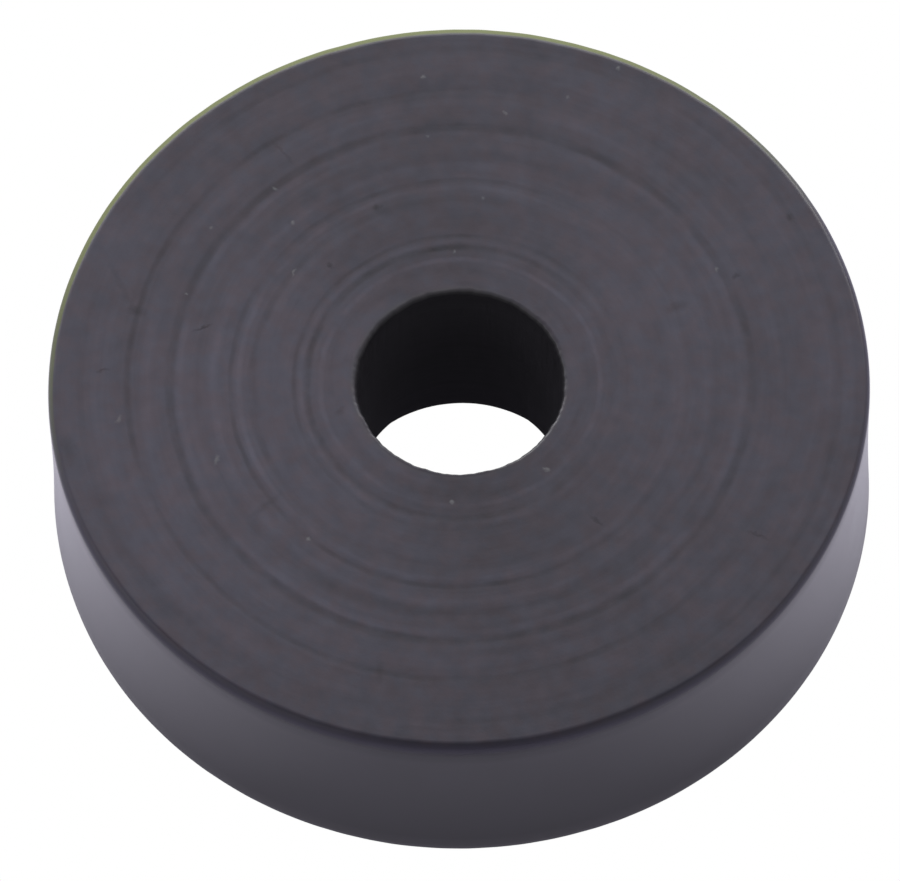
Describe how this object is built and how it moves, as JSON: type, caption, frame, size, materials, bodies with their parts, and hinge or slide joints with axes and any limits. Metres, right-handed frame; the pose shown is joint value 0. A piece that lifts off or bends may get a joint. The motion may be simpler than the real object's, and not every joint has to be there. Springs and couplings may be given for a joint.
{
  "type": "tap washer",
  "caption": "Flat round tap washer of hard black rubber with a plain central bore, softened edges and shallow concentric knife rings on both faces.",
  "frame": {"origin": "centre of the bore at the lower face", "axes": "+Z along the bore axis, from the lower face to the upper face; the washer is the same all round, so X and Y are free"},
  "size_m": [0.019, 0.019, 0.0053],
  "materials": {
    "rubber": "satin black rubber, knife cut on both faces"
  },
  "bodies": {
    "root": {"washer": "rubber"}
  },
  "joints": []
}
